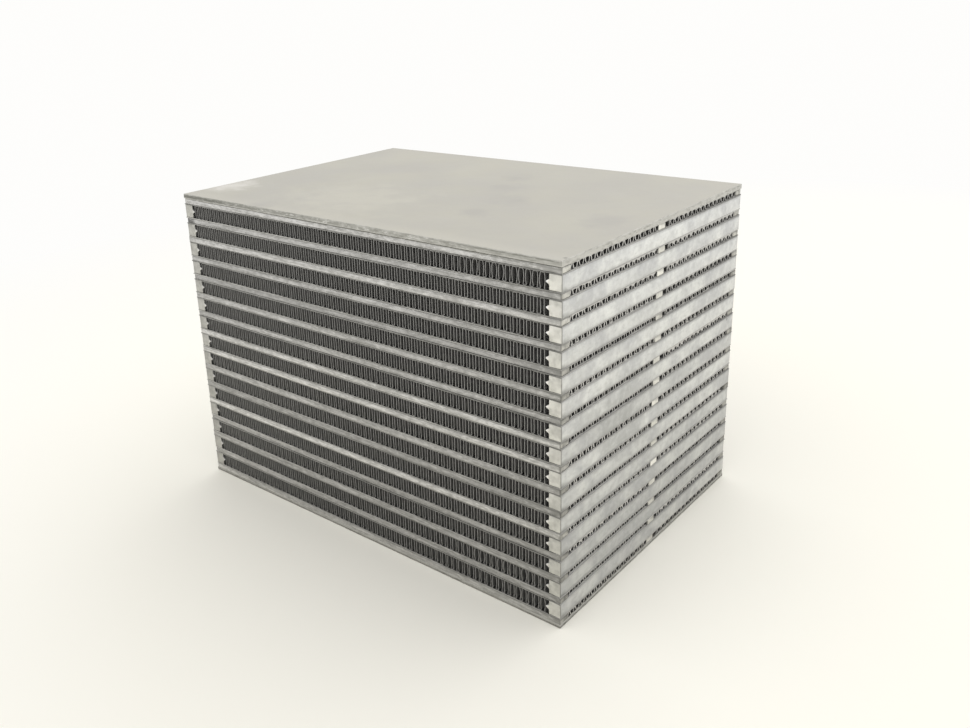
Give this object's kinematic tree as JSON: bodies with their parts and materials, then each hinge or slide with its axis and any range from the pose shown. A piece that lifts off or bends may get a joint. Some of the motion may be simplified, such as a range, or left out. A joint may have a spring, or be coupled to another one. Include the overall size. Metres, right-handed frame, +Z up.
{
  "type": "intercooler core",
  "caption": "Brazed bar-and-plate aluminium intercooler core, liquid cooled, with rows of folded fins between flat sheets and no end tanks.",
  "frame": {"origin": "centre of the underside of the bottom plate, on the surface that the core stands on", "axes": "+Z up through the stack of passages, X along the length, in the direction of the coolant passages, Y through the depth, in the direction of the air passages"},
  "size_m": [0.276, 0.191, 0.191],
  "materials": {
    "end_plates": "satin mill finish, lightly stained",
    "coolant_frames": "brazed, satin with fine lengthwise grain",
    "air_bars": "pale mottled satin",
    "fins": "dull brazed sheet"
  },
  "bodies": {
    "root": {"bottom_plate": "end_plates", "top_plate": "end_plates", "coolant_frame_01": "coolant_frames", "coolant_frame_02": "coolant_frames", "coolant_frame_03": "coolant_frames", "coolant_frame_04": "coolant_frames", "coolant_frame_05": "coolant_frames", "coolant_frame_06": "coolant_frames", "coolant_frame_07": "coolant_frames", "coolant_frame_08": "coolant_frames", "coolant_frame_09": "coolant_frames", "coolant_frame_10": "coolant_frames", "coolant_frame_11": "coolant_frames", "coolant_frame_12": "coolant_frames", "coolant_frame_13": "coolant_frames", "coolant_frame_14": "coolant_frames", "coolant_frame_15": "coolant_frames", "coolant_frame_16": "coolant_frames", "coolant_fin_01": "fins", "coolant_fin_02": "fins", "coolant_fin_03": "fins", "coolant_fin_04": "fins", "coolant_fin_05": "fins", "coolant_fin_06": "fins", "coolant_fin_07": "fins", "coolant_fin_08": "fins", "coolant_fin_09": "fins", "coolant_fin_10": "fins", "coolant_fin_11": "fins", "coolant_fin_12": "fins", "coolant_fin_13": "fins", "coolant_fin_14": "fins", "coolant_fin_15": "fins", "coolant_fin_16": "fins", "air_fin_01": "fins", "air_fin_02": "fins", "air_fin_03": "fins", "air_fin_04": "fins", "air_fin_05": "fins", "air_fin_06": "fins", "air_fin_07": "fins", "air_fin_08": "fins", "air_fin_09": "fins", "air_fin_10": "fins", "air_fin_11": "fins", "air_fin_12": "fins", "air_fin_13": "fins", "air_fin_14": "fins", "air_fin_15": "fins", "air_bars_left": "air_bars", "air_bars_right": "air_bars"}
  },
  "joints": []
}
